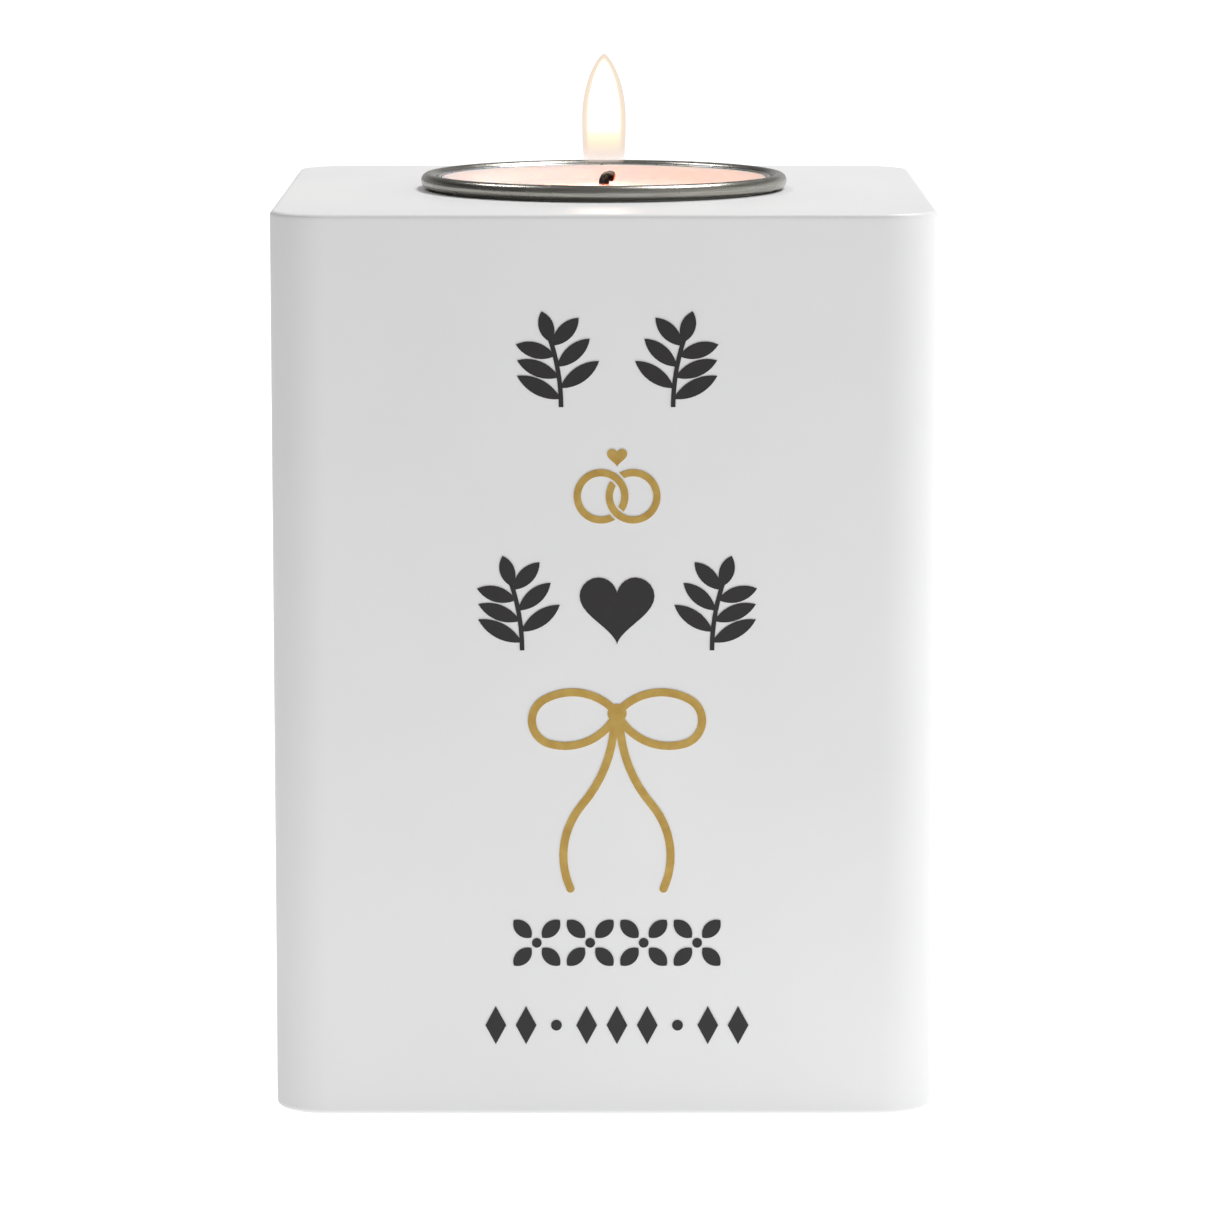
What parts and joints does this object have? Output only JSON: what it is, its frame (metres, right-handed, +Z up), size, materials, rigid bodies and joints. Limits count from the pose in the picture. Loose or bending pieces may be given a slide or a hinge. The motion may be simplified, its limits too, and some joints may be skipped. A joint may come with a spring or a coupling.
{
  "type": "tea light holder",
  "caption": "Square wooden block with rounded upright edges, a rolled-rim metal cup sunk in its top, a lit tea light in the cup and an ornament printed on its front.",
  "frame": {"origin": "centre of the block's base, on the surface that it stands on", "axes": "+Z up; the printed front faces -Y; +X is the viewer's right when looking at the print"},
  "size_m": [0.073, 0.0731, 0.1154],
  "materials": {
    "painted_wood": "solid white satin paint over wood",
    "brushed_stainless": "brushed stainless sheet",
    "foil_aluminium": "bright drawn foil",
    "candle_wax": "white paraffin wax, melted and glossy in the middle",
    "charred_cotton": "braided cotton, charred at the top",
    "tinplate": "bright tinplate",
    "flame_glow": "glowing gas, not a solid",
    "black_ink": "matt ink film",
    "gold_ink": "matt gold-coloured ink film"
  },
  "bodies": {
    "holder": {"block": "painted_wood", "black_print": "black_ink", "gold_print": "gold_ink"},
    "insert": {"insert_cup": "brushed_stainless"},
    "tealight": {"tealight_cup": "foil_aluminium", "wax": "candle_wax", "wick": "charred_cotton", "wick_sustainer": "tinplate", "flame": "flame_glow"}
  },
  "joints": [
    {"name": "insert_lift", "type": "slide", "parent": "holder", "child": "insert", "axis": [0, 0, 1], "range_m": [0, 0.025]},
    {"name": "tealight_lift", "type": "slide", "parent": "insert", "child": "tealight", "axis": [0, 0, 1], "range_m": [0, 0.025]}
  ]
}
